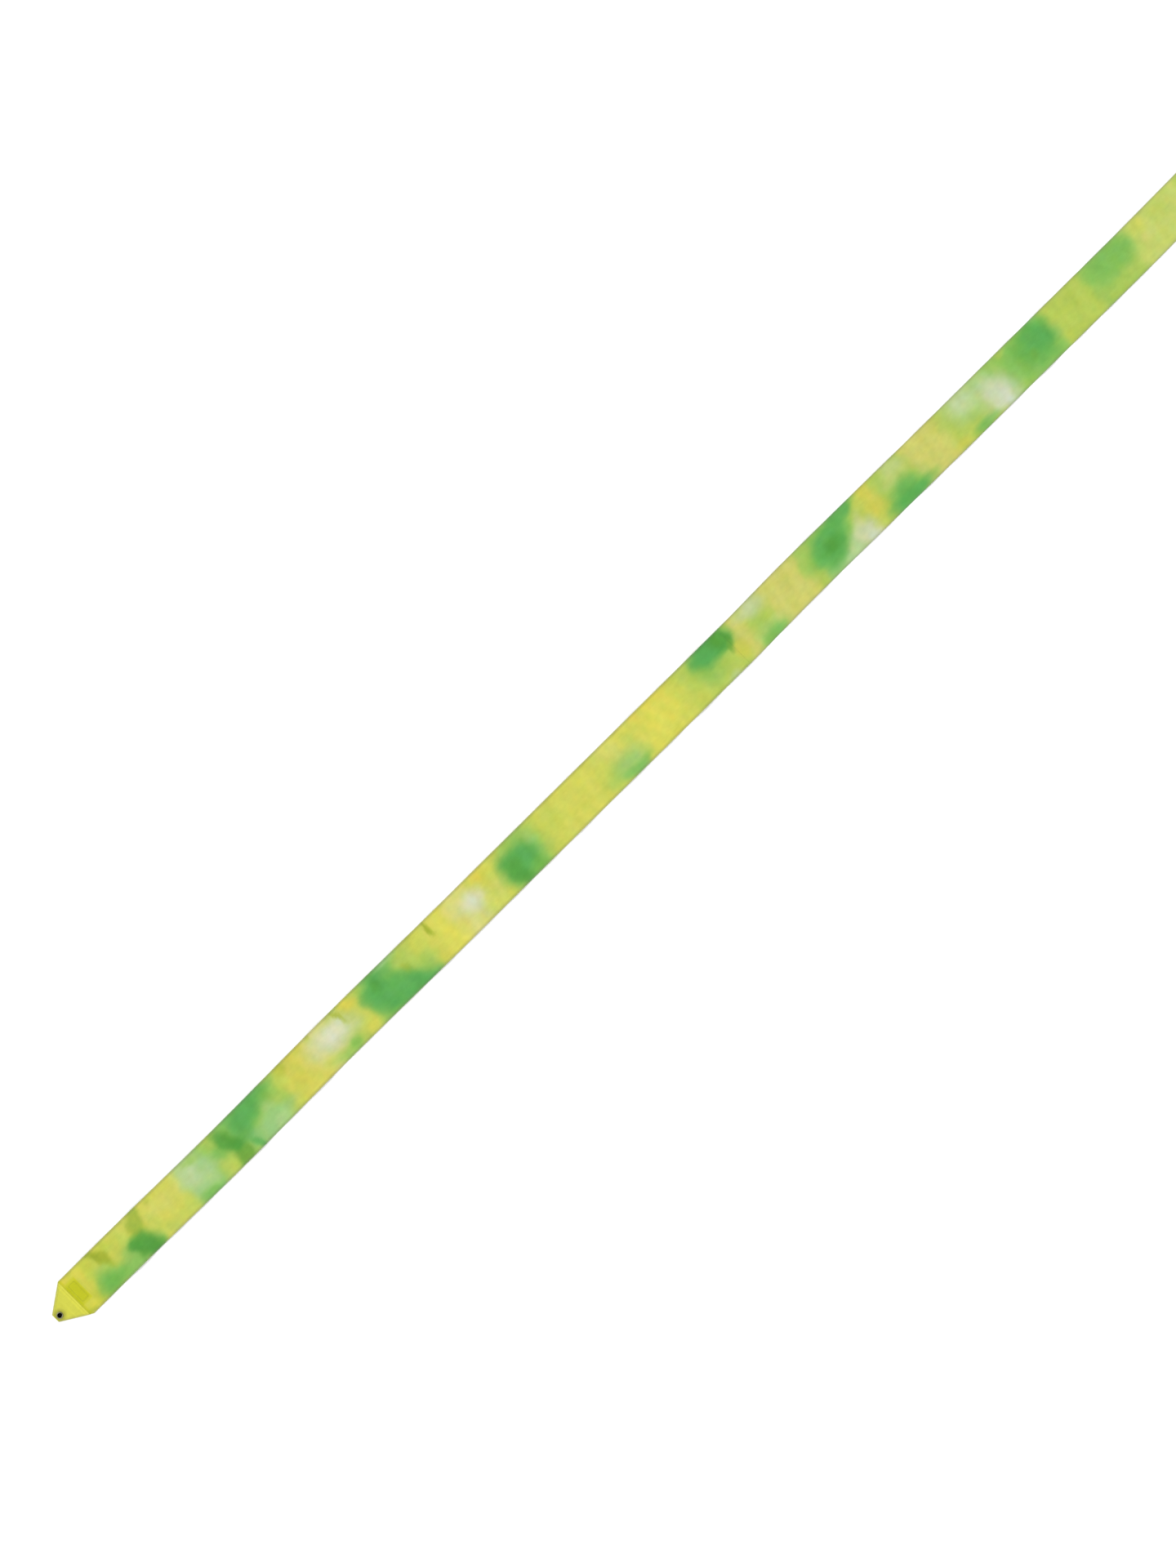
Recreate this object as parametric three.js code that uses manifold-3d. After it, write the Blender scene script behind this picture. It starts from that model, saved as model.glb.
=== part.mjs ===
// Rhythmic gymnastics ribbon, lying face up: the first stretch lies straight, the rest is rolled up.
// The stick end has a tapered, stiffened cloth tab with a metal eyelet, and the first metre is double.
// Millimetres. +X runs along the ribbon from the tip to the roll, +Y across it, +Z up.
// The origin lies on the resting surface, under the middle of the whole object.

import * as THREE from 'three';
import { mergeVertices } from 'three/addons/utils/BufferGeometryUtils.js';
import Module from 'manifold-3d';

const wasm = await Module();
wasm.setup();

// ---- Driving dimensions -------------------------------------------------------------------------
// "Along" is the distance from the tip, and "across" the distance to the left of the ribbon's middle.

const ribbonWidth = 50;
const ribbonLength = 6000;
const leaderEnd = 1000;            // the ribbon is double from the tab to here
const clothThickness = 0.3;
const stiffenerThickness = 0.4;
const threadThickness = 0.15;
const layerGap = 0.05;             // between pieces that lie on each other

// Tab: a four-cornered outline, a little longer along its right side than along its left.
const tabLength = 28.7;
const tipLeft = 4.5;
const tipRight = -5.5;
const leftCorner = 28.7;
const rightCorner = 32;

// Eyelet: a barrel with a rolled flange, set through the tab against a washer.
const eyeletAlong = 5.7;
const eyeletAcross = -1.3;
const holeRadius = 2.5;
const barrelRadius = 2.8;
const flangeRadius = 3.6;
const flangeThickness = 0.35;
const footRadius = 3.6;
const footThickness = 0.25;
const washerOuterRadius = 4;
const washerThickness = 0.25;
const eyeletClearance = 0.3;
const eyeletSegments = 32;

// Stiffener: webbing inside the tab, with a tongue that goes on under the ribbon.
const stiffenerStart = 2;
const tongueEnd = 43;
const tongueLeft = 16;
const tongueRight = -10;
const tongueCornerRadius = 3;
const webbingMargin = 3;           // from the tab's slanted sides to the webbing's

// Where the layers change height.
const eyeletFlatEnd = 14;          // the tab is level up to here, lifted by the eyelet's foot
const sandwichStart = 18.3;        // the ribbon and its leader start here, inside the tab
const shoulderEnd = 31;
const tongueRampEnd = 46;
const leaderRampEnd = 1015;

// Seams, drawn as one flat bead along each row of stitches.
const seamWidth = 0.9;
const edgeSeamInset = 1.8;
const tabSeamInset = 1.9;
const tipSeamInset = 0.5;          // between the tip and the eyelet's flange
const shoulderSeamAlong = 26.2;
const edgeSeamStart = 34;
const edgeSeamEnd = 994;
const leaderSeamAlong = 997;
const boxSeamInset = 1.6;

// Roll: the length that isn't laid out, wound on an open core.
const rollCentre = 1730;
const rollPitch = 0.45;
const rollCoreRadius = 9;
const rollWidth = 52;              // the turns stand a little out of line with each other
const rollSegments = 64;
const hemSeamWidth = 1.2;
const hemSeamAngle = Math.PI / 3;  // from straight up, round towards +X
const hemSeamClearance = 0.3;

// ---- Worked out from them -----------------------------------------------------------------------

const half = ribbonWidth / 2;
const lift = clothThickness + layerGap;
const stiffenerLift = stiffenerThickness + layerGap;
const rolledLength = ribbonLength - rollCentre;
const rollOuterRadius = Math.sqrt(rollCoreRadius ** 2 + rolledLength * rollPitch / Math.PI);
const laidEnd = rollCentre - Math.sqrt(2 * rollOuterRadius * 2 * clothThickness);
const footLift = footThickness + washerThickness + 2 * layerGap;
const flangeHeight = footLift + 2 * lift + stiffenerLift;
const eyeletHeight = flangeHeight + flangeThickness;
const originAlong = (rollCentre + rollOuterRadius) / 2;

// Where a line set in from each slanted side of the tab by the webbing's margin meets the tongue's side.
const webbingLeftKink = (tongueLeft + webbingMargin - tipLeft) * leftCorner / (half - tipLeft);
const webbingRightKink = (tipRight + webbingMargin - tongueRight) * rightCorner / (half + tipRight);

// ---- Solids -------------------------------------------------------------------------------------

function toSolid(geometry) {
  const bare = geometry.index ? geometry.toNonIndexed() : geometry.clone();
  bare.deleteAttribute('normal');
  bare.deleteAttribute('uv');
  const merged = mergeVertices(bare, 1e-5);
  const vertProperties = new Float32Array(merged.attributes.position.array);
  const triVerts = new Uint32Array(merged.index.array);
  return new wasm.Manifold(new wasm.Mesh({ numProp: 3, vertProperties, triVerts }));
}

function toGeometry(solid) {
  const { vertProperties, triVerts } = solid.getMesh();
  const geometry = new THREE.BufferGeometry();
  geometry.setAttribute('position', new THREE.BufferAttribute(vertProperties, 3));
  geometry.setIndex(new THREE.BufferAttribute(triVerts, 1));
  return geometry;
}

// An upright prism over an outline in the ribbon's plane, tall enough to cut any layer.
function prism(outline) {
  const depth = 4 * eyeletHeight;
  const geometry = new THREE.ExtrudeGeometry(outline, { depth, bevelEnabled: false, curveSegments: 8 });
  return toSolid(geometry.translate(0, 0, -eyeletHeight));
}

// A layer of even thickness whose underside follows a side path of [along, height] points.
function sheet(path, thickness) {
  const top = path.map(([along, height]) => [along, height + thickness]).reverse();
  const profile = polygon([...path, ...top]);
  const geometry = new THREE.ExtrudeGeometry(profile, { depth: 2 * ribbonWidth, bevelEnabled: false });
  return toSolid(geometry.rotateX(Math.PI / 2).translate(0, ribbonWidth, 0));
}

function layer(path, thickness, outline) {
  return sheet(path, thickness).intersect(prism(outline));
}

// ---- Outlines in the ribbon's plane -------------------------------------------------------------

function polygon(points) {
  return new THREE.Shape(points.map(([along, across]) => new THREE.Vector2(along, across)));
}

function rectangle(start, end, right, left) {
  return polygon([[start, right], [end, right], [end, left], [start, left]]);
}

function eyeletHole() {
  const radius = barrelRadius + eyeletClearance;
  const circle = new THREE.EllipseCurve(eyeletAlong, eyeletAcross, radius, radius, 0, 2 * Math.PI, true);
  return new THREE.Path(circle.getPoints(eyeletSegments).slice(1));
}

// The whole ribbon's outline, tapered at the tab. A layer's height path gives its start and end.
function ribbonOutline() {
  return polygon([
    [0, tipRight], [rightCorner, -half], [rollCentre, -half],
    [rollCentre, half], [leftCorner, half], [0, tipLeft],
  ]);
}

// How far out the tab's slanted sides stand at a place along it.
const leftSide = (along) => tipLeft + (half - tipLeft) * along / leftCorner;
const rightSide = (along) => tipRight - (half + tipRight) * along / rightCorner;

// A line round the tab, set in from its slanted sides and from its tip, for the seam.
function tabLine(sideInset, tipInset, end) {
  const leftSlope = (half - tipLeft) / leftCorner;
  const rightSlope = (half + tipRight) / rightCorner;
  const leftDrop = sideInset * Math.hypot(1, leftSlope);
  const rightDrop = sideInset * Math.hypot(1, rightSlope);
  return [
    [end, leftSide(end) - leftDrop], [tipInset, leftSide(tipInset) - leftDrop],
    [tipInset, rightSide(tipInset) + rightDrop], [end, rightSide(end) + rightDrop],
  ];
}

function stiffenerOutline() {
  const r = tongueCornerRadius;
  const along = stiffenerStart;
  const outline = new THREE.Shape();
  outline.moveTo(along, rightSide(along) + webbingMargin);
  outline.lineTo(webbingRightKink, tongueRight);
  outline.lineTo(tongueEnd - r, tongueRight);
  outline.absarc(tongueEnd - r, tongueRight + r, r, -Math.PI / 2, 0, false);
  outline.absarc(tongueEnd - r, tongueLeft - r, r, 0, Math.PI / 2, false);
  outline.lineTo(webbingLeftKink, tongueLeft);
  outline.lineTo(along, leftSide(along) - webbingMargin);
  outline.holes.push(eyeletHole());
  return outline;
}

// ---- Height paths, undersides, from the floor up --------------------------------------------------

const tabBackPath = [[0, footLift], [eyeletFlatEnd, footLift], [sandwichStart, 0], [tabLength, 0]];
const leaderPath = [[sandwichStart, lift], [tabLength, lift], [shoulderEnd, 0], [leaderEnd, 0]];
const stiffenerPath = [
  [stiffenerStart, footLift + lift], [eyeletFlatEnd, footLift + lift], [sandwichStart, 2 * lift],
  [tabLength, 2 * lift], [shoulderEnd, lift], [tongueEnd, lift],
];
const ribbonPath = [
  [sandwichStart, 2 * lift + stiffenerLift], [tabLength, 2 * lift + stiffenerLift],
  [shoulderEnd, lift + stiffenerLift], [tongueEnd, lift + stiffenerLift],
  [tongueRampEnd, lift], [leaderEnd, lift], [leaderRampEnd, 0], [laidEnd, 0],
];
const tabFrontPath = [
  [0, footLift + lift + stiffenerLift], [eyeletFlatEnd, footLift + lift + stiffenerLift],
  [sandwichStart, 3 * lift + stiffenerLift], [tabLength, 3 * lift + stiffenerLift],
];
const onTop = (path) => path.map(([along, height]) => [along, height + lift]);

// ---- Pieces -------------------------------------------------------------------------------------

function ribbonCloth(path) {
  return layer(path, clothThickness, ribbonOutline());
}

function tabCloth(path) {
  const outline = ribbonOutline();
  outline.holes.push(eyeletHole());
  return layer(path, clothThickness, outline);
}

function seamAlong(path, outline) {
  return layer(onTop(path), threadThickness, outline);
}

function edgeSeam(side) {
  const middle = side * (half - edgeSeamInset);
  const right = middle - seamWidth / 2;
  return seamAlong(ribbonPath, rectangle(edgeSeamStart, edgeSeamEnd, right, right + seamWidth));
}

function tabEdgeSeam() {
  const end = shoulderSeamAlong - seamWidth;
  const outer = tabLine(tabSeamInset, tipSeamInset, end);
  const inner = tabLine(tabSeamInset + seamWidth, tipSeamInset + seamWidth, end);
  return seamAlong(tabFrontPath, polygon([...outer, ...inner.reverse()]));
}

function shoulderSeam() {
  const right = rightSide(shoulderSeamAlong) + tabSeamInset;
  const left = leftSide(shoulderSeamAlong) - tabSeamInset;
  const start = shoulderSeamAlong - seamWidth / 2;
  return seamAlong(tabFrontPath, rectangle(start, start + seamWidth, right, left));
}

function tongueBoxSeam() {
  const box = (inset) => rectangle(
    shoulderEnd + inset, tongueEnd - inset, tongueRight + inset, tongueLeft - inset,
  );
  const outline = box(boxSeamInset);
  outline.holes.push(box(boxSeamInset + seamWidth));
  return seamAlong(ribbonPath, outline);
}

function leaderEndSeam() {
  const reach = half - edgeSeamInset;
  const start = leaderSeamAlong - seamWidth / 2;
  return seamAlong(ribbonPath, rectangle(start, start + seamWidth, -reach, reach));
}

// A closed ring about the Y axis, from a profile of [radius, height] points taken anticlockwise.
function ring(profile, segments) {
  const closed = [...profile, profile[0]].map(([radius, height]) => new THREE.Vector2(radius, height));
  return new THREE.LatheGeometry(closed, segments);
}

function uprightRing(profile, along, across) {
  return ring(profile, eyeletSegments).rotateX(Math.PI / 2).translate(along, across, 0);
}

function eyeletBarrel() {
  const lip = flangeThickness / 2;
  return uprightRing([
    [holeRadius + lip, eyeletHeight], [holeRadius, eyeletHeight - lip], [holeRadius, 0],
    [footRadius, 0], [footRadius, footThickness], [barrelRadius, footThickness],
    [barrelRadius, flangeHeight], [flangeRadius, flangeHeight], [flangeRadius, flangeHeight + lip],
    [flangeRadius - lip, eyeletHeight],
  ], eyeletAlong, eyeletAcross);
}

function eyeletWasher() {
  const inner = barrelRadius + eyeletClearance;
  const bottom = footThickness + layerGap;
  return uprightRing([
    [inner, bottom], [washerOuterRadius, bottom],
    [washerOuterRadius, bottom + washerThickness], [inner, bottom + washerThickness],
  ], eyeletAlong, eyeletAcross);
}

function ribbonRoll() {
  const reach = rollWidth / 2;
  return ring([
    [rollCoreRadius, -reach], [rollOuterRadius, -reach], [rollOuterRadius, reach], [rollCoreRadius, reach],
  ], rollSegments).translate(rollCentre, 0, rollOuterRadius);
}

// The far hem's seam lies on the inner end of the cloth, inside the core.
function farHemSeam() {
  const bead = new THREE.BoxGeometry(hemSeamWidth, ribbonWidth - 2 * edgeSeamInset, threadThickness);
  bead.translate(0, 0, rollCoreRadius - hemSeamClearance - threadThickness);
  return bead.rotateY(hemSeamAngle).translate(rollCentre, 0, rollOuterRadius);
}

// ---- Materials and assembly ---------------------------------------------------------------------

const colours = {
  ribbon: '#c9cf5e',
  leader: '#bccb58',
  tab: '#d5d554',
  webbing: '#b4b233',
  thread: '#d9dc8e',
  metal: '#8f9086',
};

function finish(kind) {
  const metal = kind === 'metal';
  return new THREE.MeshStandardMaterial({
    color: colours[kind], roughness: metal ? 0.35 : 0.6, metalness: metal ? 1 : 0,
  });
}

function piece(name, shape, kind) {
  const geometry = shape.isBufferGeometry ? shape : toGeometry(shape);
  const mesh = new THREE.Mesh(geometry, finish(kind));
  mesh.name = name;
  return mesh;
}

const ribbon = new THREE.Group();
ribbon.add(
  piece('ribbon_laid', ribbonCloth(ribbonPath), 'ribbon'),
  piece('ribbon_roll', ribbonRoll(), 'ribbon'),
  piece('leader_layer', ribbonCloth(leaderPath), 'leader'),
  piece('tip_tab_front', tabCloth(tabFrontPath), 'tab'),
  piece('tip_tab_back', tabCloth(tabBackPath), 'tab'),
  piece('tip_stiffener', layer(stiffenerPath, stiffenerThickness, stiffenerOutline()), 'webbing'),
  piece('eyelet_barrel', eyeletBarrel(), 'metal'),
  piece('eyelet_washer', eyeletWasher(), 'metal'),
  piece('stitch_tab_edge', tabEdgeSeam(), 'thread'),
  piece('stitch_shoulder', shoulderSeam(), 'thread'),
  piece('stitch_tongue_box', tongueBoxSeam(), 'thread'),
  piece('stitch_edge_left', edgeSeam(1), 'thread'),
  piece('stitch_edge_right', edgeSeam(-1), 'thread'),
  piece('stitch_leader_end', leaderEndSeam(), 'thread'),
  piece('stitch_far_hem', farHemSeam(), 'thread'),
);
ribbon.position.x = -originAlong;

export default ribbon;
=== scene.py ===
"""The looks of a tie-dyed rhythmic gymnastics ribbon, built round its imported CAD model.

A place on the cloth is its distance along the ribbon from the tip, and its distance across to the left
of the ribbon's middle, both in millimetres. Points are worked out in millimetres too, with the tip at
along 0 and the floor at height 0, and become metres in the frame when a mesh is made.
"""
import math
import random

import bpy
import numpy as np
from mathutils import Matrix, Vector


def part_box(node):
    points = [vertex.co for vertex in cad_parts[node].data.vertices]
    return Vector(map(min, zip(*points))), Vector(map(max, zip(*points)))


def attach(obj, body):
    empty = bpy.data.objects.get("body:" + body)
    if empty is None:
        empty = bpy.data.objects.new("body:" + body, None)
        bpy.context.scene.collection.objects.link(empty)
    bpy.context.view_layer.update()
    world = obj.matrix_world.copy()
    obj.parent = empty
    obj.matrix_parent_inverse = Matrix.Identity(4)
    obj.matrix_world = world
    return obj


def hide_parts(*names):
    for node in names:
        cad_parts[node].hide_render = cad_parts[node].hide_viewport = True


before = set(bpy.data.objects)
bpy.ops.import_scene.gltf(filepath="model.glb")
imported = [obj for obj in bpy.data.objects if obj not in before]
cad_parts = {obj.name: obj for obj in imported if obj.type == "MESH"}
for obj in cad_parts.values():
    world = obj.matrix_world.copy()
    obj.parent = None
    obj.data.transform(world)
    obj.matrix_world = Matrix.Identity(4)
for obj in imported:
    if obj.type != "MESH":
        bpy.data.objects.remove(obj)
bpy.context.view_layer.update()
MM = 0.001

# ---- Places taken from the frame ----------------------------------------------------------------

TAB_LOW, TAB_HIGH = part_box("tip_tab_front")
LAID_LOW, LAID_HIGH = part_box("ribbon_laid")
_, LEADER_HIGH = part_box("leader_layer")
WEB_LOW, WEB_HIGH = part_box("tip_stiffener")
RING_LOW, RING_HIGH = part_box("eyelet_barrel")
ROLL_LOW, ROLL_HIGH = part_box("ribbon_roll")


def along_of(x):
    """How far along the ribbon an x in the frame is, in millimetres."""
    return (x - TAB_LOW.x) / MM


HALF = LAID_HIGH.y / MM
TAB_END = along_of(TAB_HIGH.x)
CLOTH_START = along_of(LAID_LOW.x)
LEADER_END = along_of(LEADER_HIGH.x)
WEB_START = along_of(WEB_LOW.x)
WEB_END = along_of(WEB_HIGH.x)
WEB_RIGHT = WEB_LOW.y / MM
WEB_LEFT = WEB_HIGH.y / MM
EYELET_ALONG = along_of((RING_LOW.x + RING_HIGH.x) / 2)
EYELET_ACROSS = (RING_LOW.y + RING_HIGH.y) / 2 / MM
EYELET_TOP = RING_HIGH.z / MM
ROLL_CENTRE = along_of((ROLL_LOW.x + ROLL_HIGH.x) / 2)
ROLL_RADIUS = ROLL_HIGH.z / 2 / MM

# ---- Driving sizes, millimetres -----------------------------------------------------------------

RIBBON_LENGTH = 6000
SATIN = 0.16                 # thickness of the satin
TAB_CLOTH = 0.3
WEBBING = 0.4
AIR = 0.03                   # between cloths that are sewn to each other
THREAD = 0.3                 # thickness of the thread
THREAD_SIDES = 5             # of a thread's section
STITCH = 2.6                 # length of one stitch
EDGE_SEAM_INSET = 1.8
TAB_SEAM_INSET = 2.1         # square to the tab's slanting sides
TONGUE_SEAM_INSET = 2.0
ROLL_TURNS = 38.453          # so that the far hem ends up where the CAD has it
TURN_STEPS = 36
HEM = 8                      # the far end is turned back by this much
HEM_FOLD = 0.3               # between the two layers of the hem
HEM_STEP = 0.13              # between rows of the hem, radians
HEM_SEAM_ANGLE = 0.72        # from the fold, radians
HOLE_RADIUS = 3.0            # in the cloths, under the eyelet's flange
CLOTH_INSET = 0.3            # the cloths inside the tab stop this far short of its slanting sides
WEB_MARGIN = 3               # between the webbing and the tab's slanting sides
WEB_CORNER = 3               # radius of the webbing's far corners
FINE_END = 60                # the cloth's rows are closer together up to here
FINE_STEP = 1.0
LAID_STEP = 2.1
STEP_DOWN = 10               # over which the ribbon comes down past the leader's end
EYELET_ROOM = 0.6            # under the tab, for the eyelet's foot and its washer
SEAM_ROOM = 0.27             # under the sewn length, for the stitches
LEADER_SHIFT = 3000          # the leader is cut from another place of the same dyed cloth
THICKNESS = {"back": TAB_CLOTH, "leader": SATIN, "ribbon": SATIN, "front": TAB_CLOTH}
TIP_LEFT = 4.5               # the tab's outline: its blunt tip across, and its two shoulders along
TIP_RIGHT = -5.5
LEFT_SHOULDER = 28.7
RIGHT_SHOULDER = 32

# The shape of one stitch: share of its length, and height above the cloth in half threads.
LOCKSTITCH = ((0.0, -0.55), (0.14, 0.55), (0.5, 0.8), (0.86, 0.55))
HEM_STITCH = ((0.0, -0.3), (0.14, 0.6), (0.5, 0.85), (0.86, 0.6))

LAY = (                      # the bends of the laid ribbon's middle: along, across
    (0, 0), (100, 0), (250, -1.2), (430, 0.4), (600, -0.6), (1000, -1), (1100, 0.3), (1350, -1),
    (1570, -1.2), (1710, 0),
)
CREASES = (                  # along at the edge, which edge, reach inward, slant, height
    (66, 1, 22, 0.75, 0.5), (84, 1, 16, 0.6, 0.25), (137, 1, 26, -0.2, 0.45), (107, -1, 28, 0.3, 0.3),
    (153, 1, 12, 0.5, 0.3), (247, 1, 30, 0.6, 0.45), (284, -1, 20, -0.6, 0.35), (346, 1, 16, 0.5, 0.4),
    (391, 1, 12, 0.2, 0.3), (426, 1, 20, 0.45, 0.5), (436, -1, 16, 0.8, 0.25), (481, 1, 22, 0.1, 0.3),
    (517, 1, 30, 0.1, 0.25), (561, 1, 20, 0.1, 0.5), (560, -1, 18, -0.6, 0.35), (668, 1, 22, -0.2, 0.2),
    (741, 1, 14, 0.3, 0.3), (872, 1, 12, 0.4, 0.25), (905, -1, 20, 0.4, 0.2), (995, 1, 24, 0.1, 0.45),
    (1065, 1, 26, -0.5, 0.25), (1146, -1, 26, 0.5, 0.2), (1226, 1, 16, 0.6, 0.25),
    (1330, -1, 22, 0.4, 0.25), (1422, 1, 18, 0.3, 0.25), (1508, -1, 20, -0.5, 0.2),
    (1610, 1, 18, 0.4, 0.25),
)

# ---- Dye ----------------------------------------------------------------------------------------

# Colours of the dye, as they look (sRGB, 0 to 255). Olive and olive_green also stand for painted shade,
# where they lie on creases.
COLOURS = {
    "yellow": (211, 212, 90), "bright": (220, 217, 88), "citron": (203, 210, 87), "gold": (208, 205, 84),
    "orange": (222, 206, 74), "mustard": (196, 196, 60), "sand": (206, 206, 106),
    "cream": (218, 216, 122), "lime": (183, 204, 88), "pale_lime": (198, 211, 108),
    "leaf": (154, 197, 90), "pale_green": (154, 202, 124), "light_green": (126, 188, 87),
    "grass": (112, 180, 74), "green": (94, 174, 82), "emerald": (86, 169, 80),
    "dark_green": (80, 156, 56), "fern": (88, 161, 60), "olive": (164, 180, 48),
    "olive_green": (162, 184, 62), "moss": (108, 164, 56), "mist": (202, 211, 164),
    "green_mist": (190, 213, 152), "white": (224, 226, 194), "cool_white": (210, 219, 194),
    "straw": (210, 209, 72), "straw_green": (200, 207, 74),
}

# The ground between the patches: how far along the ribbon, and the colour there.
GROUND = (
    (0, "straw"), (50, "straw"), (60, "straw_green"), (86, "straw_green"), (104, "citron"),
    (150, "yellow"), (184, "yellow"), (206, "leaf"), (225, "leaf"), (242, "lime"), (262, "leaf"),
    (316, "leaf"), (330, "lime"), (344, "citron"), (358, "gold"), (380, "gold"), (400, "cream"),
    (436, "lime"), (456, "citron"), (470, "leaf"), (516, "lime"), (548, "citron"), (560, "yellow"),
    (580, "bright"), (600, "cream"), (632, "yellow"), (656, "citron"), (706, "lime"), (722, "citron"),
    (760, "yellow"), (796, "yellow"), (812, "citron"), (830, "yellow"), (858, "yellow"), (880, "bright"),
    (906, "bright"), (922, "citron"), (938, "lime"), (1000, "lime"), (1014, "sand"), (1028, "lime"),
    (1046, "lime"), (1060, "sand"), (1098, "sand"), (1114, "lime"), (1128, "leaf"), (1160, "leaf"),
    (1186, "lime"), (1206, "gold"), (1226, "lime"), (1256, "lime"), (1270, "sand"), (1304, "sand"),
    (1322, "lime"), (1370, "lime"), (1392, "leaf"), (1464, "leaf"), (1476, "lime"), (1518, "lime"),
    (1533, "leaf"), (1572, "leaf"), (1590, "pale_lime"), (1660, "pale_lime"),
)
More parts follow.
